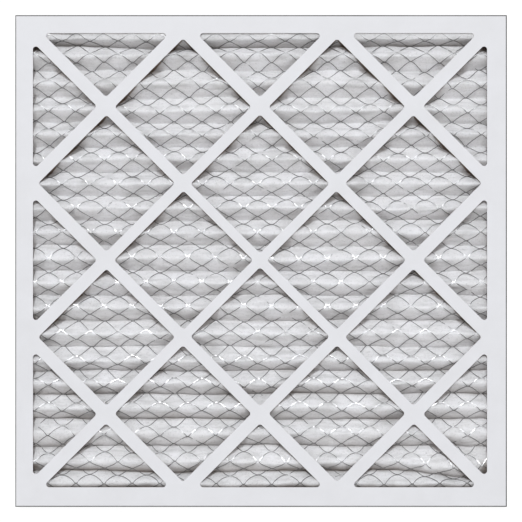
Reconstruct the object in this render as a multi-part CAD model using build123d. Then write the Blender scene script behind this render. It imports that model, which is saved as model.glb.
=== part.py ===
from build123d import *
import math
import os

# Pleated panel air filter, nominal 20 x 20 x 1 in.
# Two die-cut paperboard trays, glued one inside the other, hold one folded sheet of
# filter media with a folded metal mesh on its front side.
# Millimetres. The panel lies on its back face: +Z is out of the front face, the folds
# run along X, and the origin is under the middle of the panel, on the back face.

# Panel
side = 495.3                 # 19 1/2 in, the actual side of a nominal 20 in panel
depth = 19.05                # 3/4 in, the actual depth of a nominal 1 in panel
board = 0.65                 # coated paperboard
fold_radius = 1.0            # outside radius where the board is folded
front_flap_gap = 0.4         # the front tray's flaps stop this far above the back face

# Lattice, die-cut in the face of each tray
window_side = 457.2          # 18 in inside the border
lattice_step = 77.5          # from one crossing of straps to the next, along X and along Y
lattice_reach = 3            # steps from the middle to the border, each way
lattice_shift = (-1.0, 0.8)  # the front tray's die-cut stands this far off the middle
strap_widths = (9.9, 11.5, 13.0)  # inner, middle and outer rings of the lattice
corner_radius = 3.0          # corners of the front openings
corner_flat = 1.8            # corners of the back openings are short flats

# Glue tabs, on the ends of each tray's left and right flaps
tab_length = 16.0
tab_taper = 4.0
tab_lift = 0.5               # the tabs stand clear of the face

# Folded media
pleat_count = 19
pleat_pitch = 25.15
media = 1.0                  # thickness, pressed at the folds
pack_width = 489.0
end_leg_angle = 75.0         # the last leg at each end leans on the tray's flap
end_leg_length = 16.0

# Expanded metal mesh on the front side of the media
mesh = 0.45                  # thickness
strand = 0.7                 # width in plan
cell_width = 28.3            # from bond to bond along a fold
rows_per_pleat = 3           # rows of bonds
strand_share = 3             # one strand in three is modelled, along its real line

# Hot-melt glue that seals the pack in its frame: from this height to this height
side_glue = (3.0, 16.0)
end_glue = (8.0, 15.0)
end_glue_length = 456.0      # between the tabs

# Worked out from the above
half = side / 2
face_under = depth - board
back_half_x = half - board           # the back tray bears on the front tray's left and right flaps
back_half_y = half - 2 * board       # and on the front tray's tabs at the top and bottom
wall_x = back_half_x - board         # inside faces of the back tray's flaps
wall_y = back_half_y - board
half_pitch = pleat_pitch / 2
crests = [(pleat_count - 1 - 2 * k) * half_pitch for k in range(pleat_count)]
valley_z = board + media             # inside corner of the fold at a valley
mesh_rise = face_under - valley_z    # the mesh's ridges touch the front tray
leg_angle = math.acos(mesh / math.hypot(mesh_rise, half_pitch)) - math.atan2(half_pitch, mesh_rise)
ridge_z = valley_z + half_pitch * math.tan(leg_angle)
crest_z = ridge_z - media / math.cos(leg_angle)  # inside corner of the fold at a crest
media_top = crest_z + media
end_angle = math.radians(end_leg_angle)


def strap_width(x, y):
    """Width of the strap segment whose middle is at x, y: the straps widen ring by ring."""
    ring = int(max(abs(x), abs(y)) // lattice_step)
    return strap_widths[min(ring, len(strap_widths) - 1)]


def lattice_opening(i, j, rounded):
    """The diamond between four straps, or the triangle where it meets the border."""
    def reach(sx, sy):
        middle = ((i + sx / 2) * lattice_step, (j + sy / 2) * lattice_step)
        return lattice_step - strap_width(*middle) / math.sqrt(2)

    right_up, left_up = reach(1, 1), reach(-1, 1)
    left_down, right_down = reach(-1, -1), reach(1, -1)
    diamond = Polygon(
        ((right_up + right_down) / 2, (right_up - right_down) / 2),
        ((right_up - left_up) / 2, (right_up + left_up) / 2),
        (-(left_up + left_down) / 2, (left_up - left_down) / 2),
        ((right_down - left_down) / 2, -(left_down + right_down) / 2),
        align=None,
    )
    window = Rectangle(window_side, window_side)
    opening = window & (Pos(i * lattice_step, j * lattice_step) * diamond)
    if rounded:
        return fillet(opening.vertices(), corner_radius)
    return chamfer(opening.vertices(), corner_flat)


def lattice(rounded):
    """Every opening of a tray's face. Their middles lie between the crossings of the straps."""
    places = range(-lattice_reach, lattice_reach + 1)
    return [
        lattice_opening(i, j, rounded)
        for i in places
        for j in places
        if (i + j) % 2 == 1
    ]


def tray(half_x, half_y, flap_height, openings, corner_round):
    """A folded tray, face down: the face lies at z = 0 and the flaps stand up from it.

    The top and bottom flaps are plain. The left and right flaps turn inwards at their ends
    into tabs, which are glued behind the top and bottom flaps.
    """
    low = (Align.CENTER, Align.CENTER, Align.MIN)
    body = Box(2 * half_x, 2 * half_y, flap_height, align=low)
    rounded = body.edges().group_by(Axis.Z)[0]
    if corner_round:
        rounded += body.edges().filter_by(Axis.Z)
    body = fillet(rounded, fold_radius)
    body -= Pos(0, 0, board) * Box(2 * (half_x - board), 2 * (half_y - board), flap_height, align=low)
    body -= extrude(Sketch() + openings, board)
    for sx in (-1, 1):
        for sy in (-1, 1):
            body -= corner_groove(sx, sy, half_x, half_y, flap_height)
            body += glue_tab(sx, sy, half_x, half_y, flap_height)
    return body


def corner_groove(sx, sy, half_x, half_y, flap_height):
    """What the bend of a tab leaves open outside it, beside the cut end of the plain flap."""
    bend_x, bend_y = half_x - fold_radius, half_y - board - fold_radius
    square = Pos(sx * fold_radius / 2, sy * fold_radius / 2) * Rectangle(fold_radius, fold_radius)
    groove = square - Circle(fold_radius)
    return Pos(sx * bend_x, sy * bend_y, fold_radius) * extrude(groove, flap_height)


def glue_tab(sx, sy, half_x, half_y, flap_height):
    foot, top = board + tab_lift, flap_height
    start, end = half_x - board, half_x - board - tab_length
    outline = Polygon(
        (sx * start, foot),
        (sx * end, foot + tab_taper),
        (sx * end, top - tab_taper),
        (sx * start, top),
        align=None,
    )
    tab = extrude(Plane.XZ * outline, board / 2, both=True)
    return Pos(0, sy * (half_y - 1.5 * board), 0) * tab


def front_tray():
    shift = Pos(lattice_shift[0], -lattice_shift[1])
    openings = [shift * opening for opening in lattice(rounded=True)]
    face_down = tray(half, half, depth - front_flap_gap, openings, corner_round=False)
    return Pos(0, 0, depth) * Rot(180, 0, 0) * face_down


def back_tray():
    return tray(back_half_x, back_half_y, face_under, lattice(rounded=False), corner_round=True)


def along(point, angle, distance):
    """The point that far from another, at an angle above the Y axis."""
    return (point[0] + distance * math.cos(angle), point[1] + distance * math.sin(angle))


def media_section():
    """The folded sheet seen along X: straight legs, round outside each fold and sharp inside."""
    square = math.pi / 2
    first, last = crests[-1] - half_pitch, crests[0] + half_pitch
    left_angle, right_angle = math.pi - end_angle, end_angle
    front, back = [], []
    start = along((first, valley_z), left_angle, end_leg_length)
    corner = (first, valley_z)
    front.append(Line(start, corner))
    for y in reversed(crests):
        rising = along((y, crest_z), leg_angle + square, media)
        falling = along((y, crest_z), square - leg_angle, media)
        front.append(Line(corner, rising))
        front.append(ThreePointArc(rising, (y, media_top), falling))
        corner = (y + half_pitch, valley_z)
        front.append(Line(falling, corner))
    end = along(corner, right_angle, end_leg_length)
    front.append(Line(corner, end))

    point = along(end, right_angle - square, media)
    back.append(Line(end, point))
    for k, y in enumerate([last] + [c - half_pitch for c in crests]):
        right = right_angle if k == 0 else leg_angle
        left = left_angle if k == pleat_count else math.pi - leg_angle
        enter = along((y, valley_z), right - square, media)
        leave = along((y, valley_z), left + square, media)
        back.append(Line(point, enter))
        back.append(ThreePointArc(enter, (y, board), leave))
        point = (y - half_pitch, crest_z)
        if k == pleat_count:
            point = along(start, left_angle + square, media)
        back.append(Line(leave, point))
    back.append(Line(point, start))
    return make_face(Wire(front + back))


def across(section):
    """A section drawn as seen along X, given its length across the panel."""
    return Pos(-pack_width / 2, 0, 0) * extrude(Plane.YZ * section, pack_width)


def pleated_media():
    return across(media_section())


def mesh_skin():
    """The mesh before its cells are opened: a folded skin on the front side of the media."""
    lift = mesh / math.cos(leg_angle)
    folds = [(crests[-1] - half_pitch, valley_z)]
    for y in reversed(crests):
        folds += [(y, ridge_z), (y + half_pitch, valley_z)]
    lifted = [(y, z + lift) for y, z in reversed(folds)]
    pleats = across(Polygon(*folds, *lifted, align=None))
    low = folds[-1]
    high = along(low, end_angle, end_leg_length)
    end_section = Polygon(
        low,
        high,
        along(high, end_angle + math.pi / 2, mesh),
        (low[0], low[1] + mesh / math.cos(end_angle)),
        align=None,
    )
    end = across(end_section)
    return pleats + end + mirror(end, Plane.XZ)


def strands():
    """The strands in plan: two sets of straight bands, which cross at the bonds."""
    length = 2 * (crests[0] + pleat_pitch)
    lean = (cell_width / 2) / (pleat_pitch / rows_per_pleat)
    run = length * lean
    band = strand * math.hypot(1, lean)
    spacing = cell_width * strand_share
    count = math.ceil((pack_width + run) / spacing / 2)
    bands = Sketch()
    for s in (-1, 1):
        for k in range(-count, count + 1):
            low, high = k * spacing - s * run / 2, k * spacing + s * run / 2
            bands += Polygon(
                (low - band / 2, -length / 2),
                (low + band / 2, -length / 2),
                (high + band / 2, length / 2),
                (high - band / 2, length / 2),
                align=None,
            )
    return bands & Rectangle(pack_width, length)


def wire_mesh():
    return mesh_skin() & extrude(strands(), depth)


def side_glue_bead(s):
    """Between the cut ends of the folds and the left or right flap."""
    low, high = side_glue
    thick = wall_x - pack_width / 2
    length = 2 * (crests[0] + half_pitch)
    return Pos(s * (wall_x - thick / 2), 0, (low + high) / 2) * Box(thick, length, high - low)


def end_glue_bead(s):
    """Between the last leg of the folds and the top or bottom flap."""
    foot = along((crests[0] + half_pitch, valley_z), end_angle - math.pi / 2, media)
    low, high = end_glue
    wedge = Polygon(
        (foot[0] + (low - foot[1]) / math.tan(end_angle), low),
        (foot[0] + (high - foot[1]) / math.tan(end_angle), high),
        (wall_y, high),
        (wall_y, low),
        align=None,
    )
    bead = extrude(Plane.YZ * wedge, end_glue_length / 2, both=True)
    return bead if s > 0 else mirror(bead, Plane.XZ)


parts = {
    "front_tray": front_tray(),
    "back_tray": back_tray(),
    "pleated_media": pleated_media(),
    "wire_mesh": wire_mesh(),
    "left_edge_glue": side_glue_bead(-1),
    "right_edge_glue": side_glue_bead(1),
    "top_edge_glue": end_glue_bead(1),
    "bottom_edge_glue": end_glue_bead(-1),
}

os.makedirs("parts", exist_ok=True)
for name, shape in parts.items():
    shape.label = name
    export_step(shape, f"parts/{name}.step")
    print(f"{name}: {shape.volume / 1000:.1f} cm3")
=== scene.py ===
import math
import bpy
import numpy as np
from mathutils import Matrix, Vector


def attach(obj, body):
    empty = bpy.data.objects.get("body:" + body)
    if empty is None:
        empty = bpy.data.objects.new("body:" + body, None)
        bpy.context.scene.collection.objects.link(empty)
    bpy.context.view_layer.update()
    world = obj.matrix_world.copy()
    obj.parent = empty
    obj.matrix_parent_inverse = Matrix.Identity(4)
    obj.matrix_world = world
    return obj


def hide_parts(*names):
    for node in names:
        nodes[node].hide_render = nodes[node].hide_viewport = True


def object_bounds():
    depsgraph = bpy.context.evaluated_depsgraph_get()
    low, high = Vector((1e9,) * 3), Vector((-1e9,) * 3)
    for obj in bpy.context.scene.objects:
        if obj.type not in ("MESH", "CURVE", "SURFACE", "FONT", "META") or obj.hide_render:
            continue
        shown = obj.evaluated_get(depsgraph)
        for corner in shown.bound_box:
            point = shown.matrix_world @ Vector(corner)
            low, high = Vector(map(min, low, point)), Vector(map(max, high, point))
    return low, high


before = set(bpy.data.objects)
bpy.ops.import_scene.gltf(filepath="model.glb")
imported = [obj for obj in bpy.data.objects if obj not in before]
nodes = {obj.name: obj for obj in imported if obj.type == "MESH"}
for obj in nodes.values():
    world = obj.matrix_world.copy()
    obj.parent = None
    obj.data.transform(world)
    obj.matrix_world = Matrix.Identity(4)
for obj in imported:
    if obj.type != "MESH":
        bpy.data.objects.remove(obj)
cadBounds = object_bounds()
mm = 0.001
halfSide = float(cadBounds[1][0])   # of the square panel
faceZ = float(cadBounds[1][2])      # its front face, which looks up

print("frame loaded:", ", ".join(sorted(nodes)))


# helpers for node materials

def newMaterial(name):
    material = bpy.data.materials.new(name)
    material.use_nodes = True
    tree = material.node_tree
    tree.nodes.clear()
    output = tree.nodes.new("ShaderNodeOutputMaterial")
    shader = tree.nodes.new("ShaderNodeBsdfPrincipled")
    tree.links.new(shader.outputs["BSDF"], output.inputs["Surface"])
    return material, tree, shader, output


def addNode(tree, kind, inputs=None, **settings):
    # inputs: socket name or number -> a plain value or another node's output
    node = tree.nodes.new("ShaderNode" + kind)
    for key, value in settings.items():
        setattr(node, key, value)
    for key, value in (inputs or {}).items():
        if isinstance(value, bpy.types.NodeSocket):
            tree.links.new(value, node.inputs[key])
        else:
            node.inputs[key].default_value = value
    return node


def setSockets(shader, values):
    for name, value in values.items():
        shader.inputs[name].default_value = value


def maths(tree, operation, *values):
    return addNode(tree, "Math", dict(enumerate(values)), operation=operation).outputs[0]


def product(tree, first, *others):
    for other in others:
        first = maths(tree, "MULTIPLY", first, other)
    return first


def mixColor(tree, factor, first, second):
    # factor is a node's output; each colour is one too, or three plain numbers
    node = tree.nodes.new("ShaderNodeMix")
    node.data_type = "RGBA"
    tree.links.new(factor, node.inputs[0])
    for socket, colour in ((node.inputs[6], first), (node.inputs[7], second)):
        if isinstance(colour, bpy.types.NodeSocket):
            tree.links.new(colour, socket)
        else:
            socket.default_value = (*colour, 1)
    return node.outputs[2]


def stretched(tree, position, scale):
    return addNode(tree, "Mapping", {"Vector": position, "Scale": scale}).outputs["Vector"]


def noise(tree, position, scale, detail=3.0, roughness=0.5, distortion=0.0):
    return addNode(tree, "TexNoise", {
        "Vector": position, "Scale": scale, "Detail": detail, "Roughness": roughness,
        "Distortion": distortion,
    }).outputs["Fac"]


def ramp(tree, value, low, high, toLow=0.0, toHigh=1.0):
    return addNode(tree, "MapRange", {
        "Value": value, "From Min": low, "From Max": high, "To Min": toLow, "To Max": toHigh,
    }, clamp=True).outputs["Result"]


def furthest(tree, x, y):
    # how far out on the panel, along x or along y, whichever is more
    return maths(tree, "MAXIMUM", maths(tree, "ABSOLUTE", x), maths(tree, "ABSOLUTE", y))


def addBump(tree, shader, height, strength, depth):
    bump = addNode(tree, "Bump", {"Strength": strength, "Distance": depth, "Height": height})
    tree.links.new(bump.outputs["Normal"], shader.inputs["Normal"])
    return bump.outputs["Normal"]


# noise keeps near 0.5: these are the parts of it that a ramp spreads from 0 to 1
wideBand = (0.3, 0.7)
middleBand = (0.35, 0.65)
narrowBand = (0.4, 0.6)


# trays: white clay-coated board, darker along its outer folds, its core bare where it was cut

boardLook = {
    "coat": (0.684, 0.678, 0.696),
    "coatShade": (0.660, 0.653, 0.668),
    "coatGrain": (0.70, 0.70, 0.71),
    "core": (0.60, 0.575, 0.54),      # fibre between the two coats
    "kraft": (0.30, 0.205, 0.14),     # the uncoated inside of the board
    "kraftFleck": (0.42, 0.31, 0.225),
    "fold": (0.022, 0.020, 0.018),
    "grainShare": 0.10,
    "coreShare": 0.75,
    "mottleNoise": (38, 5, 0.6),      # scale, detail and roughness
    "grainNoise": (900, 3, 0.7),
    "grainStretch": (1, 0.35, 1),
    "coreNoise": (1600, 2),
    "fleckNoise": (700, 4, 0.6),
    "fleckStretch": (1, 0.3, 1),
    "fleckBand": (0.4, 0.65),
    "patchNoise": (14, 3),
    "upright": 0.35,                  # a face that looks up or down less than this stands upright
    "cutInside": 230.0 * mm,          # upright faces in here are the openings' cut edges
    "sideCoat": 0.3 * mm,             # the coated outside lies this near the panel's sides
    "faceCoat": 0.25 * mm,            # and this near its front and back
    "foldDarkIn": (1.35 * mm, 0.95 * mm),    # in from the sides: where the dark fold line starts, where it is full
    "foldDarkDown": (1.25 * mm, 0.95 * mm),  # the same, down from the front
    "foldDarkPatches": (0.88, 1.0),
    "foldDarkLeft": (1.1 * mm, 0.35),     # the left side is lighter: how far in, and its share of the dark line
    "roughness": (0.42, 0.55),
    "specular": 0.35,
    "grainHeight": 0.4,               # against the mottle's 1
    "bump": (0.10, 0.4 * mm),         # strength and depth
}


def boardMaterial(look):
    material, tree, shader, _ = newMaterial("coatedBoard")
    geometry = addNode(tree, "NewGeometry")
    position = geometry.outputs["Position"]
    x, y, z = addNode(tree, "SeparateXYZ", {0: position}).outputs
    facing = addNode(tree, "SeparateXYZ", {0: geometry.outputs["Normal"]})
    outward = furthest(tree, x, y)
    mottle = noise(tree, position, *look["mottleNoise"])
    grain = noise(tree, stretched(tree, position, look["grainStretch"]), *look["grainNoise"])
    coat = mixColor(tree, ramp(tree, mottle, *middleBand), look["coatShade"], look["coat"])
    grained = ramp(tree, grain, *wideBand, toHigh=look["grainShare"])
    coat = mixColor(tree, grained, coat, look["coatGrain"])

    # the cut edge of the board: grey-brown fibre between the two coats
    upright = maths(tree, "LESS_THAN", maths(tree, "ABSOLUTE", facing.outputs[2]), look["upright"])
    cut = product(tree, upright, maths(tree, "LESS_THAN", outward, look["cutInside"]))
    coreFleck = ramp(tree, noise(tree, position, *look["coreNoise"]), *narrowBand)
    core = mixColor(tree, coreFleck, look["core"], look["coatShade"])
    colour = mixColor(tree, product(tree, cut, look["coreShare"]), coat, core)

    # only the outside is coated: the inside is brown, as seen under the straps
    side = maths(tree, "GREATER_THAN", outward, halfSide - look["sideCoat"])
    front = maths(tree, "GREATER_THAN", z, faceZ - look["faceCoat"])
    back = maths(tree, "LESS_THAN", z, look["faceCoat"])
    coated = maths(tree, "MAXIMUM", side, maths(tree, "MAXIMUM", front, back))
    fleck = noise(tree, stretched(tree, position, look["fleckStretch"]), *look["fleckNoise"])
    flecked = ramp(tree, fleck, *look["fleckBand"])
    kraft = mixColor(tree, flecked, look["kraft"], look["kraftFleck"])
    colour = mixColor(tree, coated, kraft, colour)

    # a dark line painted along the outer folds of the front face, least on the left
    near = ramp(tree, outward, *(halfSide - reach for reach in look["foldDarkIn"]))
    high = ramp(tree, z, *(faceZ - reach for reach in look["foldDarkDown"]))
    patches = noise(tree, position, *look["patchNoise"])
    patchy = ramp(tree, patches, *wideBand, *look["foldDarkPatches"])
    leftReach, leftShare = look["foldDarkLeft"]
    lessOnLeft = ramp(tree, x, -halfSide, -halfSide + leftReach, leftShare, 1.0)
    foldDark = product(tree, near, high, product(tree, patchy, lessOnLeft))
    colour = mixColor(tree, foldDark, colour, look["fold"])
    tree.links.new(colour, shader.inputs["Base Color"])

    roughness = ramp(tree, mottle, *wideBand, *look["roughness"])
    tree.links.new(roughness, shader.inputs["Roughness"])
    setSockets(shader, {"Specular IOR Level": look["specular"]})
    height = maths(tree, "ADD", product(tree, grain, look["grainHeight"]), mottle)
    addBump(tree, shader, height, *look["bump"])
    return material


# hot-melt glue: milky, smooth, slightly lumpy

glueLook = {
    "clear": (0.80, 0.76, 0.66),
    "milky": (0.86, 0.84, 0.78),
    "cloudNoise": (120, 4, 0.6),
    "lumpNoise": (260, 2),
    "roughness": 0.28,
    "bump": (0.5, 0.8 * mm),
}


def glueMaterial(look):
    material, tree, shader, _ = newMaterial("hotMeltGlue")
    position = addNode(tree, "NewGeometry").outputs["Position"]
    cloud = ramp(tree, noise(tree, position, *look["cloudNoise"]), *middleBand)
    colour = mixColor(tree, cloud, look["clear"], look["milky"])
    tree.links.new(colour, shader.inputs["Base Color"])
    setSockets(shader, {"Roughness": look["roughness"]})
    addBump(tree, shader, noise(tree, position, *look["lumpNoise"]), *look["bump"])
    return material


def dress(nodeNames, material):
    for name in nodeNames:
        slots = nodes[name].material_slots
        if not slots:
            nodes[name].data.materials.append(material)
        for slot in slots:
            slot.material = material


dress(["front_tray", "back_tray"], boardMaterial(boardLook))
dress(
    ["left_edge_glue", "right_edge_glue", "top_edge_glue", "bottom_edge_glue"],
    glueMaterial(glueLook),
)
print("trays and glue dressed")


# The folds that the media and the mesh share, in millimetres. Fold lines are numbered from the
# top end: even ones are crests, odd ones valleys. Between two folds the sheet is a flat leg.

folding = {
    "pitch": 25.15,
    "pleats": 19,
    "crestOffsets": (           # from even steps, towards the top end
        -2.5, 5.8, 2.8, 1.0, 1.7, 1.6, 2.1, 2.9, 3.2, 1.9,
        2.2, 2.9, 1.7, 0.1, 2.6, 3.2, 2.1, -1.3, 3.1,
    ),
    "valleyLift": 0.5,          # towards the top end from the middle between two crests
    "endTop": 243.2,            # the last leg at each end leans on the tray's flap
    "endValley": 238.9,
    "topFlat": 2.0,             # the leg under the top border rises this much faster, then is flat
    "crestZ": 17.55,
    "valleyZ": 1.75,
    # shares of a leg taken by the fold's rounding: the crest's upper and lower side, the valley
    "crestRound": (0.17, 0.14),
    "valleyRound": 0.03,
    # valleys counted from the top, and how closed each one's crease is
    "creaseAt": (0, 1, 3, 7, 12, 14, 18),
    "crease": (0.16, 0.05, 0.02, 0.05, 0.10, 0.20, 0.24),
    "creaseWidth": 0.075,
    "creasePower": 0.7,
    # each fold wanders along x in long and short waves, and its crest rises and dips
    "waveCount": 7,
    "waveRates": {"long": (0.010, 0.045), "short": (0.09, 0.30), "rise": (0.015, 0.09)},
    "phases": 6.28,
    "waveTop": 1.6,             # about as high as the waves add up to
    "wander": (0.55, 0.22),     # in the long and in the short waves
    "crestDip": 0.28,
    # fold line, x of its middle, half its width, dy, dz
    "sags": (
        (3, 0, 900, 1.4, 0), (3, -190, 45, 2.2, 0), (3, -80, 42, -2.8, 0),
        (3, 150, 55, 1.3, 0), (3, 202, 30, 2.2, 0),
        (37, -60, 60, -1.5, 0), (38, 0, 900, 0, 0.3),
        (36, 200, 38, -6.0, -1.0), (37, 205, 42, -7.0, 0), (37, 0, 900, 0, 4.0),
    ),
    "halfWidth": 244.2,
    "endRise": 5.5,             # the valleys are shallower at the glued ends
    "endFrom": 205.0,
    "probe": (0.5, 0.02),       # slopes are taken over this much of x, and of a leg
    "seed": 41,
}


def foldLines(spec):
    half = spec["pitch"] / 2
    crests = [
        (spec["pleats"] - 1 - 2 * k) * half + offset
        for k, offset in enumerate(spec["crestOffsets"])
    ]
    found = [(spec["endTop"], spec["crestZ"]), (spec["endValley"], spec["valleyZ"])]
    for k, crest in enumerate(crests):
        found.append((crest, spec["crestZ"]))
        if k + 1 < len(crests):
            found.append(((crest + crests[k + 1]) / 2 + spec["valleyLift"], spec["valleyZ"]))
    found += [(-spec["endValley"], spec["valleyZ"]), (-spec["endTop"], spec["crestZ"])]
    return np.array(found)


lines = foldLines(folding)
rng = np.random.RandomState(folding["seed"])


def drawWaves(slowest, fastest):
    shape = (len(lines), folding["waveCount"])
    return rng.uniform(slowest, fastest, shape), rng.uniform(0, folding["phases"], shape)


waveTable = {kind: drawWaves(*rates) for kind, rates in folding["waveRates"].items()}


def wave(kind, line, x):
    rates, phases = waveTable[kind]
    waves = np.sin(rates[line] * x[..., None] + phases[line])
    return waves.sum(-1) / math.sqrt(folding["waveCount"] / 2)


def foldAt(line, x):
    # the place of fold line number `line` (an array) at x
    y, z = lines[line, 0].copy(), lines[line, 1].copy()
    free = np.clip(np.minimum(line, len(lines) - 1 - line) - 1, 0, 1)  # the end legs stay put
    far, near = folding["wander"]
    y = y + free * (far * wave("long", line, x) + near * wave("short", line, x))
    isCrest = line % 2 == 0
    dip = 0.5 + 0.5 * wave("rise", line, x) / folding["waveTop"]
    z = z + np.where(isCrest, -folding["crestDip"], 0.0) * dip
    endWidth = folding["halfWidth"] - folding["endFrom"]
    towardsEnd = np.clip((np.abs(x) - folding["endFrom"]) / endWidth, 0, 1)
    z = z + np.where(isCrest, 0.0, folding["endRise"]) * towardsEnd ** 2
    for fold, centre, width, dy, dz in folding["sags"]:
        bell = np.exp(-((x - centre) / width) ** 2) * (line == fold)
        y, z = y + dy * bell, z + dz * bell
    return y, z


def smoothStep(t):
    return t * t * (3 - 2 * t)


def eased(t, reach):
    # from 0 to 1, level where it starts and straight further on
    return (np.sqrt(t * t + reach * reach) - reach) / (math.sqrt(1 + reach * reach) - reach)


def rounded(t, upperSide):
    # height of a leg, 0 at its valley and 1 at its crest, eased over the rounding at both ends
    t = eased(t, folding["valleyRound"])
    upper, lower = folding["crestRound"]
    return 1 - np.where(upperSide, eased(1 - t, upper), eased(1 - t, lower))


def valleyOf(line):
    # the valley of the leg that starts at this fold line, counted from the top
    return (np.where(line % 2 == 1, line, line + 1) - 3) / 2


def onSheet(x, q):
    # x across the panel; q counts fold lines: a whole number is on a fold
    line = np.clip(np.floor(q).astype(int), 0, len(lines) - 2)
    t = q - line
    y0, z0 = foldAt(line, x)
    y1, z1 = foldAt(line + 1, x)
    fromValley = line % 2 == 1          # this leg runs from a valley to a crest
    share = np.where(fromValley, t, 1 - t)
    low, high = np.where(fromValley, z0, z1), np.where(fromValley, z1, z0)
    crease = np.interp(valleyOf(line), folding["creaseAt"], folding["crease"])
    pinched = np.minimum(1, share / folding["creaseWidth"]) ** folding["creasePower"]
    share = share * (1 - crease) + crease * pinched
    # under the top border the sheet lies flat before it turns down
    share = np.where(line == 1, np.minimum(1, share * folding["topFlat"]), share)
    return np.stack([x, y0 + (y1 - y0) * t, low + (high - low) * rounded(share, fromValley)], -1)


def unit(vectors):
    return vectors / np.linalg.norm(vectors, axis=-1, keepdims=True)


def sheetNormal(x, q):
    stepX, stepQ = folding["probe"]
    before, after = (np.clip(q + step, 0, len(lines) - 1) for step in (-stepQ, stepQ))
    alongQ = onSheet(x, after) - onSheet(x, before)
    alongX = onSheet(x + stepX, q) - onSheet(x - stepX, q)
    return unit(np.cross(alongX, -alongQ))


# The mesh's pattern, in millimetres: strands joined at bonds. The bonds lie in rows, about three
# rows to a pleat, every other row moved half a cell.

meshPlan = {
    "cell": 28.2,
    "phase": 38.9,                 # x of a bond on the middle crest
    "rowStep": 13.1,               # along the unfolded sheet
    "middleRow": 27,
    "rowStart": -2.4,              # of the middle row from the middle crest, along the sheet
    "rows": (-8, 70),              # more than there is room for
    "rowMargin": 0.3,              # in legs: rows nearer to the first or last fold are left out
    "bonds": (-14, 13),            # numbers of a row's bonds, past both sides of the panel
    "bondHalf": 0.95,
    "strand": 0.60,                # a strand's width
    "gauge": 0.40,
    "section": ((-0.5, -0.5), (0.5, -0.5), (0.5, 0.5), (-0.5, 0.5)),  # shares of width and gauge
    "stepsPerStrand": 10,
    "drift": 0.06,                 # of each row against the one above it
    "jitterX": 0.45,
    "jitterQ": 0.022,
    "lift": 0.20,                  # off the media
    # distance of a bond from the crest in legs, minus on the upper side, and how steeply its
    # strands leave it, those that run below it and those above
    "slopeAt": (-1, -0.7, -0.38, -0.18, 0, 0.15, 0.4, 0.8, 1),
    "slopeBelow": (1.0, 0.3, 0.15, 1.7, 1.6, 0.7, 0.4, 1.0, 1.0),
    "slopeAbove": (1.0, 0.3, 0.15, 1.7, 2.1, 1.7, 1.0, 1.4, 1.2),
    "bridged": (2.05, 37.4),       # the fold lines between which strands bridge the crests
    "bridge": 0.56,                # width of a bridge, and how far above the crest it lies, in legs
    "bridgeBefore": 0.20,
    "bridgeFacing": (-0.034, 0.240, 0.970),
    # on a crest's upper side a strand runs on straight, then comes back to the sheet
    "spanFall": 0.25,
    "spanStraight": 0.30,          # in legs
    "spanBack": 0.50,
    "standOff": (0.20, 0.10, 0.7),  # on its lower side: how far from the crest, reach, how much
    "tilt": 0.12,                  # of single bonds, at random
    "twist": 0.03,                 # of every other strand, and the rest the other way
    "topTwist": (0.24, 17),        # more at the top end, gone by this fold line
    "topLean": 0.35,               # on the first two legs, before the first bridge
    "highlightFrom": -0.44,           # from a crest, in legs: a highlight is painted on the strands here
    "highlightTo": -0.06,
    "highlightEdge": 0.12,
    "highlightMean": 0.65,
    "highlightByTilt": 3,
    "highlightLeast": 0.2,
    "halfWidth": 244.0,
    "endMargin": 0.1,              # in legs
    "heights": (1.7, 18.38),       # between the trays
    "seed": 17,
}


legLengths = np.hypot(np.diff(lines[:, 0]), np.diff(lines[:, 1]))
unfolded = np.concatenate([[0], np.cumsum(legLengths)])
unfolded -= unfolded[len(lines) // 2]   # of each fold line along the sheet, from the middle crest


def bondRowQ(row):
    # the rows keep their step along the sheet, not the pleats'
    fromMiddle = np.asarray(row) - meshPlan["middleRow"]
    along = meshPlan["rowStart"] + fromMiddle * meshPlan["rowStep"]
    return np.interp(along, unfolded, np.arange(len(lines)))


def puffing(x, q):
    # how far the media swells through the cells: nothing under a strand, most in mid cell
    along = np.interp(q, np.arange(len(lines)), unfolded)
    row = (along - meshPlan["rowStart"]) / meshPlan["rowStep"]
    column = (x - meshPlan["phase"]) / meshPlan["cell"]
    return np.abs(np.sin(np.pi * (column + row / 2)) * np.sin(np.pi * (column - row / 2)))


# media: one folded nonwoven sheet, in millimetres

mediaShape = {
    "columns": 160,
    "stepsPerLeg": 7,
    "crowding": 0.45,       # samples crowd towards the folds, where the sheet turns
    "endMargin": 0.03,      # in legs
    "thickness": 0.9,
    "puff": 0.16,
    "puffOnFolds": 0.35,    # its share there
    "wrinkle": 0.44,
    "wrinkleOnFolds": 0.3,
    "wrinkleCells": (2, 34),   # of random heights, down a leg and across the panel
    "fineWrinkle": 0.45,    # against the coarse one
    "fineCells": (4, 70),
    "frontZ": (1.6, 17.9),  # the sheet keeps clear of the trays
    "backZ": (0.7, 18.0),
    # valleys counted from the top, and how dark the shade painted into each one's crease is
    "shadeAt": (-1, 0, 1, 6, 7, 10, 11, 12, 13, 14, 15, 16, 17, 18),
    "shade": (0, 0.58, 0, 0, 0.1, 0.12, 0.25, 0.1, 0.4, 0.62, 0.62, 0.45, 1.0, 0.3),
    "shadeFrom": 0.1,       # it deepens from here down a leg, and ends this far up the next one
    "shadeOver": 0.1,
    "shadePower": 1.5,
    "shadeMottle": (0.85, 0.25),   # its mean and how much it varies
    "shadeCells": (1, 16),
    # painted shade for the dark gaps at the corners of the pack and along its end: x, fold line,
    # reach along x, in legs
    "gaps": (
        (-229, 3.25, 6, 0.45), (228, 3.2, 6, 0.4), (228, 36.4, 7, 0.55), (-229, 36.6, 5, 0.4),
        (0, 38.52, 450, 0.31),
    ),
    "flat": (0.489, 0.79),  # the sheet unfolded, in metres
    "seed": 5,
}


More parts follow.
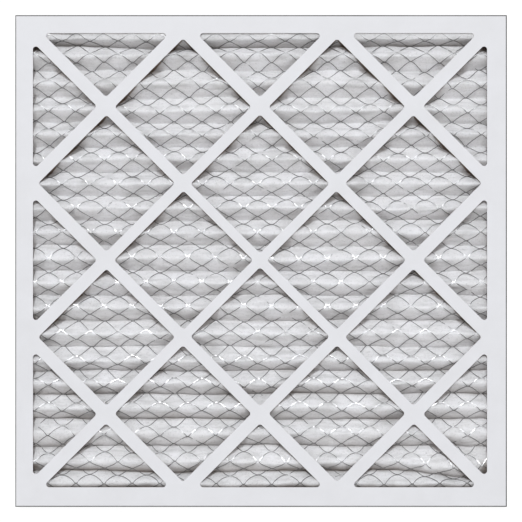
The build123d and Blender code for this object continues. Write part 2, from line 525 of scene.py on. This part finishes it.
def smoothField(rows, columns, seed, cells):
    # seeded random heights, smooth over the sheet
    field = np.random.RandomState(seed).normal(size=(cells[0] + 3, cells[1] + 3))
    r, c = np.linspace(0, cells[0], rows), np.linspace(0, cells[1], columns)
    ri, ci = r.astype(int), c.astype(int)
    rt, ct = smoothStep(r - ri)[:, None], smoothStep(c - ci)
    upper = field[ri][:, ci] * (1 - ct) + field[ri][:, ci + 1] * ct
    lower = field[ri + 1][:, ci] * (1 - ct) + field[ri + 1][:, ci + 1] * ct
    return upper * (1 - rt) + lower * rt


def meshObject(name, vertices, faces, material, smooth=True):
    data = bpy.data.meshes.new(name)
    data.from_pydata(vertices.tolist(), [], faces)
    data.validate()
    data.polygons.foreach_set("use_smooth", [smooth] * len(data.polygons))
    data.materials.append(material)
    piece = bpy.data.objects.new(name, data)
    bpy.context.scene.collection.objects.link(piece)
    return piece


def setPointValues(piece, name, values):
    piece.data.attributes.new(name, "FLOAT", "POINT").data.foreach_set("value", values)


def paintedValleyShade(q, spec):
    # painted shade where the sheet runs down into a valley, darkest in the tight ones
    line = np.floor(q)
    t = q - line
    strength = np.interp(valleyOf(line), spec["shadeAt"], spec["shade"])
    down = np.clip((t - spec["shadeFrom"]) / (1 - spec["shadeFrom"]), 0, 1)
    up = np.clip(1 - t / spec["shadeOver"], 0, 1)
    return strength * np.where(line % 2 == 0, down ** spec["shadePower"], up)


def foldedMedia(spec, material):
    legs = len(lines) - 1
    q = np.linspace(spec["endMargin"], legs - spec["endMargin"], legs * spec["stepsPerLeg"] + 1)
    q = q - np.sin(2 * np.pi * q) / (2 * np.pi) * spec["crowding"]
    x = np.linspace(-folding["halfWidth"], folding["halfWidth"], spec["columns"])
    qs, xs = np.meshgrid(q, x, indexing="ij")
    rows, columns = qs.shape
    midLeg = np.abs(np.sin(np.pi * qs))   # 0 on a fold, 1 in the middle of a leg

    def field(number, cells):
        return smoothField(rows, columns, spec["seed"] + number, (legs * cells[0], cells[1]))

    def fromFolds(onFolds):
        return onFolds + (1 - onFolds) * midLeg

    puff = spec["puff"] * puffing(xs, qs) * fromFolds(spec["puffOnFolds"])
    coarse = spec["wrinkle"] * field(0, spec["wrinkleCells"]) * fromFolds(spec["wrinkleOnFolds"])
    fine = spec["fineWrinkle"] * spec["wrinkle"] * field(1, spec["fineCells"])
    normal = sheetNormal(xs, qs)
    front = onSheet(xs, qs) + normal * (puff + coarse + fine)[..., None]
    front[..., 2] = np.clip(front[..., 2], *spec["frontZ"])
    back = front - normal * spec["thickness"]
    back[..., 2] = np.clip(back[..., 2], *spec["backZ"])
    vertices = np.concatenate([front.reshape(-1, 3), back.reshape(-1, 3)]) * mm

    index = np.arange(rows * columns).reshape(rows, columns)
    corners = [index[:-1, :-1], index[1:, :-1], index[1:, 1:], index[:-1, 1:]]
    upper = np.stack(corners, -1).reshape(-1, 4)
    lower = upper[:, ::-1] + rows * columns
    rim = np.concatenate([index[0, :], index[1:, -1], index[-1, -2::-1], index[-2:0:-1, 0]])
    following = np.roll(rim, -1)
    sides = np.stack([rim, following, following + rows * columns, rim + rows * columns], -1)
    faces = np.concatenate([upper, lower, sides]).tolist()
    piece = meshObject("foldedMedia", vertices, faces, material)

    mean, spread = spec["shadeMottle"]
    # painted shade down into the valleys, mottled
    crease = paintedValleyShade(qs, spec) * (mean + spread * field(2, spec["shadeCells"]))
    # patches of painted shade at the pack's corners and along its bottom end
    for middle, line, reach, share in spec["gaps"]:
        gap = np.exp(-((xs - middle) / reach) ** 4 - ((qs - line) / share) ** 4)
        crease = np.maximum(crease, gap)
    setPointValues(piece, "crease", np.tile(np.clip(crease, 0, 1).ravel(), 2))
    return piece


# nonwoven: random fibres pressed into a felt, a little fuzzy, and thin enough to pass some light

mediaLook = {
    "light": (0.945, 0.94, 0.956),
    "dark": (0.883, 0.875, 0.88),
    "fibre": (0.99, 0.99, 0.995),
    "shade": (0.58, 0.575, 0.57),
    # the painted shade of the valleys and of the dark gaps
    "crease": (0.30, 0.26, 0.235),
    "through": 0.43,              # share of the light that it passes
    "cloudNoise": (55, 5, 0.62),
    "cloudBand": (0.33, 0.67),
    "fibreNoise": (260, 4, 0.5, 1.5),         # with a distortion that curls them
    "fibreStretch": ((1, 3, 3), (3, 1, 1)),   # fibres lie both ways
    "fibreBand": (0.56, 0.72),
    "fibreShare": 0.7,
    "fibreHeight": 0.6,
    "pitNoise": (480, 2, 0.7),
    "pitBand": (0.47, 0.27),
    "pitShare": 0.5,
    "streakNoise": (160, 3, 0.6),
    "streakStretch": (0.22, 1, 1),
    "streakBand": (0.52, 0.30),
    "streakShare": 0.45,
    "bump": (1.0, 0.9 * mm),
    "roughness": 0.85,
    "sheen": (0.15, 0.6),         # weight and roughness
    "specular": 0.2,
    # painted shadow along the lower side of the tray's straps, darkest where the folds are deep
    "strapShadow": (0.26, 0.19, 0.145),
    "strapStep": 77.5 * mm,
    "strapShift": (0.2 * mm, 1.8 * mm),   # of the falling and the rising straps
    "strapHalf": 4.95 * mm,
    "strapWiden": 0.78 * mm,      # from one ring of the lattice to the next
    "lastRing": 2,
    # reach, from this height down to this, strength
    "strapShadowLine": (1.3 * mm, 17.1 * mm, 15.5 * mm, 0.95),
    "strapShadowHaze": (6.0 * mm, 13.0 * mm, 4.0 * mm, 0.30),
}


def paintedStrapShadow(tree, position, look):
    # painted shadow: most right beside the strap above, on its lower side, and nothing past the
    # reach
    x, y, z = addNode(tree, "SeparateXYZ", {0: position}).outputs
    step = look["strapStep"]
    ring = maths(tree, "FLOOR", maths(tree, "DIVIDE", furthest(tree, x, y), step))
    ring = maths(tree, "MINIMUM", ring, look["lastRing"])
    half = maths(tree, "MULTIPLY_ADD", ring, look["strapWiden"], look["strapHalf"])
    fallingShift, risingShift = look["strapShift"]
    falling = maths(tree, "ADD", maths(tree, "ADD", x, y), fallingShift)
    rising = maths(tree, "ADD", maths(tree, "SUBTRACT", x, y), risingShift)
    # distances from the middle of the nearest strap of each kind, square to it
    sides = [
        product(tree, maths(tree, "WRAP", slope, step, -step), towards * math.sqrt(0.5))
        for slope, towards in ((falling, -1), (rising, 1))
    ]
    found = []
    for reach, high, low, strength in (look["strapShadowLine"], look["strapShadowHaze"]):
        depth = ramp(tree, z, high, low, 0.0, strength)
        near = []
        for side in sides:
            away = maths(tree, "DIVIDE", maths(tree, "SUBTRACT", side, half), reach)
            below = maths(tree, "GREATER_THAN", side, 0.0)
            near.append(product(tree, ramp(tree, away, 0.0, 1.0, 1.0, 0.0), below))
        found.append(product(tree, maths(tree, "MAXIMUM", *near), depth))
    return maths(tree, "MAXIMUM", *found)


def mediaMaterial(look):
    material, tree, shader, output = newMaterial("nonwovenMedia")
    position = addNode(tree, "NewGeometry").outputs["Position"]
    cloud = noise(tree, position, *look["cloudNoise"])
    fibres = maths(tree, "MAXIMUM", *(
        noise(tree, stretched(tree, position, stretch), *look["fibreNoise"])
        for stretch in look["fibreStretch"]
    ))
    pits = noise(tree, position, *look["pitNoise"])
    alongFolds = stretched(tree, position, look["streakStretch"])
    streaks = noise(tree, alongFolds, *look["streakNoise"])
    colour = mixColor(tree, ramp(tree, cloud, *look["cloudBand"]), look["dark"], look["light"])
    for pattern, kind, tint in (
        (fibres, "fibre", "fibre"), (pits, "pit", "shade"), (streaks, "streak", "shade"),
    ):
        share = ramp(tree, pattern, *look[kind + "Band"], toHigh=look[kind + "Share"])
        colour = mixColor(tree, share, colour, look[tint])
    # painted shade in the valleys and at the gaps, carried by the crease attribute
    crease = addNode(tree, "Attribute", attribute_name="crease").outputs["Fac"]
    colour = mixColor(tree, crease, colour, look["crease"])
    # painted shadow beside the straps' lower edges
    colour = mixColor(tree, paintedStrapShadow(tree, position, look), colour, look["strapShadow"])
    tree.links.new(colour, shader.inputs["Base Color"])
    sheen, sheenRoughness = look["sheen"]
    setSockets(shader, {
        "Roughness": look["roughness"], "Specular IOR Level": look["specular"],
        "Sheen Weight": sheen, "Sheen Roughness": sheenRoughness,
    })
    fibreHeight = product(tree, fibres, look["fibreHeight"])
    height = maths(tree, "ADD", fibreHeight, maths(tree, "ADD", cloud, streaks))
    normal = addBump(tree, shader, height, *look["bump"])
    glow = addNode(tree, "BsdfTranslucent", {"Color": colour, "Normal": normal})
    both = addNode(tree, "MixShader", {
        0: look["through"], 1: shader.outputs["BSDF"], 2: glow.outputs["BSDF"],
    })
    tree.links.new(both.outputs[0], output.inputs["Surface"])
    return material


media = foldedMedia(mediaShape, mediaMaterial(mediaLook))
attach(media, "root")
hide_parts("pleated_media")
print("media folded:", len(media.data.polygons), "faces")


# expanded metal mesh, pressed onto the front of the media

def bondPlaces(spec):
    # x, fold line and tilt of every bond, row by row
    first, last = spec["rowMargin"], len(lines) - 1 - spec["rowMargin"]
    rows = [n for n in range(*spec["rows"]) if first < bondRowQ(n) < last]
    random = np.random.RandomState(spec["seed"])
    drift = np.cumsum(random.normal(0, spec["drift"], len(rows) + 1))
    table = {}
    for n, row in enumerate(rows):
        shift = 0 if (row - spec["middleRow"]) % 2 == 0 else spec["cell"] / 2
        x = spec["phase"] + shift + np.arange(*spec["bonds"]) * spec["cell"] + drift[n]
        x = x + random.normal(0, spec["jitterX"], len(x))
        q = np.full(len(x), bondRowQ(row)) + random.normal(0, spec["jitterQ"], len(x))
        table[row] = (x, q, random.normal(0, spec["tilt"], len(x)))
    return table


def nearestCrest(q):
    return 2 * np.round(q / 2).astype(int)


def strandFall(t, first, last):
    # from 0 to 1 with the given slopes at its ends
    return (t ** 3 - 2 * t ** 2 + t) * first + (3 * t ** 2 - 2 * t ** 3) + (t ** 3 - t ** 2) * last


def strandPath(upper, lower, spec):
    # one strand runs across the whole panel, down to a bond of the lower row and up again
    def slope(q, side):
        return np.interp(q - nearestCrest(q), spec["slopeAt"], spec[side])

    points = [(x, q, 0, tilt) for x, q, tilt in zip(*upper)]
    points += [(x, q, 1, tilt) for x, q, tilt in zip(*lower)]
    points.sort()
    xs, qs, tilts = [], [], []
    t = np.linspace(0, 1, spec["stepsPerStrand"])
    for (x0, q0, low0, tilt0), (x1, q1, low1, tilt1) in zip(points, points[1:]):
        if low0 == low1:
            continue
        start, end = x0 + spec["bondHalf"], x1 - spec["bondHalf"]
        top, bottom = (q0, q1) if low1 else (q1, q0)
        leaving, arriving = slope(top, "slopeBelow"), slope(bottom, "slopeAbove")
        fall = strandFall(t if low1 else 1 - t, leaving, arriving)
        xs.append(start + (end - start) * t)
        qs.append(top + (bottom - top) * fall)
        tilts.append(tilt0 + (tilt1 - tilt0) * t)
    return np.concatenate(xs), np.concatenate(qs), np.concatenate(tilts)


def isBridged(q, spec):
    first, last = spec["bridged"]
    return (q > first) & (q < last)


def strandFacing(x, q, tilt, row, spec):
    # a bond bridges the crest, so it lies flatter than the sheet under it
    aside = np.abs(q - nearestCrest(q) + spec["bridgeBefore"])
    flat = (np.clip(2 - 2 * aside / spec["bridge"], 0, 1) * isBridged(q, spec))[:, None]
    facing = sheetNormal(x, q) * (1 - flat) + np.array(spec["bridgeFacing"]) * flat
    # the strands are a little twisted, every other one the other way, and more at the top end
    most, upTo = spec["topTwist"]
    twist = tilt + spec["twist"] * (1 if row % 2 else -1)
    facing[:, 1] += twist + most * np.clip(1 - q / upTo, 0, 1)
    facing[:, 1] -= spec["topLean"] * (q < spec["bridged"][0])
    return unit(facing)


def strandMiddle(x, q, facing, row, spec):
    fromCrest = q - nearestCrest(q)
    middle = onSheet(x, q) + facing * (spec["lift"] + spec["gauge"] / 2)
    # on the crest's upper side it spans straight on
    crestY, crestZ = foldAt(nearestCrest(q), x)
    fallen = spec["spanFall"] * (middle[:, 1] - crestY)
    onward = crestZ + spec["lift"] + spec["gauge"] / 2 - fallen
    toSheet = (spec["spanBack"] + fromCrest) / (spec["spanBack"] - spec["spanStraight"])
    ahead = smoothStep(np.clip(toSheet, 0, 1)) * ((fromCrest < 0) & isBridged(q, spec))
    middle[:, 2] += np.maximum(0, onward - middle[:, 2]) * ahead
    # and on its lower side it stands off the sheet
    place, reach, most = spec["standOff"]
    middle[:, 2] += most * np.exp(-((fromCrest - place) / reach) ** 2)
    # beside a bond two strands lie edge to edge
    stepQ = folding["probe"][1]
    down = unit(onSheet(x, q + stepQ) - onSheet(x, q - stepQ))
    share = np.clip((q - bondRowQ(row)) / (bondRowQ(row + 1) - bondRowQ(row)), 0, 1)
    return middle + down * (spec["strand"] * 0.5 * (1 - 2 * share))[:, None]


# painted highlight on the strands just above each crest, scaled by the bond's tilt, none past the
# last bridged crest
def paintedHighlightShare(q, tilt, spec):
    fromCrest = q - nearestCrest(q)
    inside = np.minimum(fromCrest - spec["highlightFrom"], spec["highlightTo"] - fromCrest)
    byTilt = np.clip(spec["highlightMean"] + spec["highlightByTilt"] * tilt, spec["highlightLeast"], 1)
    return np.clip(0.5 + inside / spec["highlightEdge"], 0, 1) * byTilt * (q < spec["bridged"][1])


def expandedMesh(spec, material):
    table = bondPlaces(spec)
    corners = spec["section"]
    sides = len(corners)
    vertices, faces, paintedHighlight, total = [], [], [], 0
    for row in sorted(table)[:-1]:
        x, q, tilt = strandPath(table[row], table[row + 1], spec)
        keep = np.abs(x) <= spec["halfWidth"]
        x, q, tilt = x[keep], q[keep], tilt[keep]
        q = np.clip(q, spec["endMargin"], len(lines) - 1 - spec["endMargin"])
        facing = strandFacing(x, q, tilt, row, spec)
        middle = strandMiddle(x, q, facing, row, spec)
        across = unit(np.cross(facing, unit(np.gradient(middle, axis=0))))
        ring = np.stack([
            middle + across * (a * spec["strand"]) + facing * (n * spec["gauge"])
            for a, n in corners
        ], 1)
        ring[..., 2] = np.clip(ring[..., 2], *spec["heights"])
        vertices.append(ring.reshape(-1, 3))
        paintedHighlight.append(np.repeat(paintedHighlightShare(q, tilt, spec), sides))

        count = len(x)
        base = total + sides * np.arange(count - 1)[:, None]
        for side in range(sides):
            this, following = base + side, base + (side + 1) % sides
            faces += np.concatenate([this, following, following + sides, this + sides], 1).tolist()
        last = total + sides * (count - 1)
        faces.append(list(range(total + sides - 1, total - 1, -1)))
        faces.append(list(range(last, last + sides)))
        total += sides * count
    vertices = np.concatenate(vertices) * mm
    piece = meshObject("expandedMesh", vertices, faces, material, smooth=False)
    setPointValues(piece, "paintedHighlight", np.concatenate(paintedHighlight))
    return piece


# galvanised steel: dull zinc, painted bright as a highlight just above the crests

wireLook = {
    "paintedHighlight": (0.86, 0.86, 0.87),
    "paintedHighlightDull": (0.62, 0.615, 0.61),
    "zinc": (0.26, 0.258, 0.26),
    "dull": (0.12, 0.118, 0.115),
    "spangleNoise": (300, 3, 0.6),
    "pitNoise": (900, 2),
    "metallic": 0.5,
    "roughness": (0.34, 0.48),
    "bump": (0.15, 0.1 * mm),
}


def wireMaterial(look):
    material, tree, shader, _ = newMaterial("galvanisedMesh")
    position = addNode(tree, "NewGeometry").outputs["Position"]
    spangle = noise(tree, position, *look["spangleNoise"])
    grey = ramp(tree, spangle, *middleBand)
    zinc = mixColor(tree, grey, look["dull"], look["zinc"])
    bright = mixColor(tree, grey, look["paintedHighlightDull"], look["paintedHighlight"])
    # the painted highlight mixes the strands towards bright zinc
    paintedHighlight = addNode(tree, "Attribute", attribute_name="paintedHighlight").outputs["Fac"]
    tree.links.new(mixColor(tree, paintedHighlight, zinc, bright), shader.inputs["Base Color"])
    setSockets(shader, {"Metallic": look["metallic"]})
    roughness = ramp(tree, spangle, *wideBand, *look["roughness"])
    tree.links.new(roughness, shader.inputs["Roughness"])
    addBump(tree, shader, noise(tree, position, *look["pitNoise"]), *look["bump"])
    return material


wires = expandedMesh(meshPlan, wireMaterial(wireLook))
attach(wires, "root")
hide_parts("wire_mesh")
print("mesh laid:", len(wires.data.polygons), "faces")

# floor, light and camera

stageLook = {
    "floorSize": 80.0,
    "floorColour": (0.10, 0.10, 0.10),
    "floorGlow": 0.94,
    "ambient": (0.18, 0.18, 0.18),
    "horizon": (1.0, 1.0, 1.0),   # what the camera sees beyond the floor
    # strength, degrees across, degrees up from the floor, turn from the top edge to the right
    "lights": {
        "key": (2.20, 7, 62, -8),       # a large soft light
        "fill": (0.34, 60, 90, 0),      # a very soft one overhead
        "graze": (0.20, 8, 18, -8),     # from the top edge, grazes the crests
        "low": (0.55, 30, 35, 180),     # a weak one from the bottom edge
        "left": (0.36, 50, 38, -90),
        "right": (0.36, 50, 38, 90),
    },
    "coolLights": ("key", "graze"),
    "cool": (0.94, 0.97, 1.0),
    "white": (1, 1, 1),
    "cameraHeight": 1.5,          # over the front face
    "viewWidth": 0.5255,          # what the image takes in there
    "sensor": 36.0,
}


def addSun(name, strength, across, up, turn, colour):
    lamp = bpy.data.lights.new(name, "SUN")
    lamp.energy = strength
    lamp.color = colour
    lamp.angle = math.radians(across)
    sun = bpy.data.objects.new(name, lamp)
    sun.rotation_euler = (math.radians(up - 90), 0, math.radians(-turn))
    bpy.context.scene.collection.objects.link(sun)


def buildStage(look):
    size = look["floorSize"] / 2
    corners = [(-size, -size, 0), (size, -size, 0), (size, size, 0), (-size, size, 0)]
    data = bpy.data.meshes.new("floor")
    data.from_pydata(corners, [], [(0, 1, 2, 3)])
    floor = bpy.data.objects.new("floor", data)
    bpy.context.scene.collection.objects.link(floor)
    material, _, shader, _ = newMaterial("paleFloor")
    setSockets(shader, {
        "Base Color": (*look["floorColour"], 1), "Roughness": 1.0, "Specular IOR Level": 0.0,
        "Emission Color": (*look["white"], 1), "Emission Strength": look["floorGlow"],
    })
    data.materials.append(material)

    world = bpy.data.worlds.new("studio")
    world.use_nodes = True
    tree = world.node_tree
    seen = addNode(tree, "LightPath").outputs["Is Camera Ray"]
    sky = mixColor(tree, seen, look["ambient"], look["horizon"])
    tree.links.new(sky, tree.nodes["Background"].inputs[0])
    bpy.context.scene.world = world

    for name, settings in look["lights"].items():
        addSun(name, *settings, look["cool"] if name in look["coolLights"] else look["white"])

    lens = bpy.data.cameras.new("camera")
    lens.sensor_width = look["sensor"]
    lens.lens = look["sensor"] * look["cameraHeight"] / look["viewWidth"]
    camera = bpy.data.objects.new("camera", lens)
    camera.location = (0, 0, faceZ + look["cameraHeight"])
    bpy.context.scene.collection.objects.link(camera)
    bpy.context.scene.camera = camera
    bpy.context.scene.view_settings.view_transform = "Standard"


buildStage(stageLook)
print("stage set")
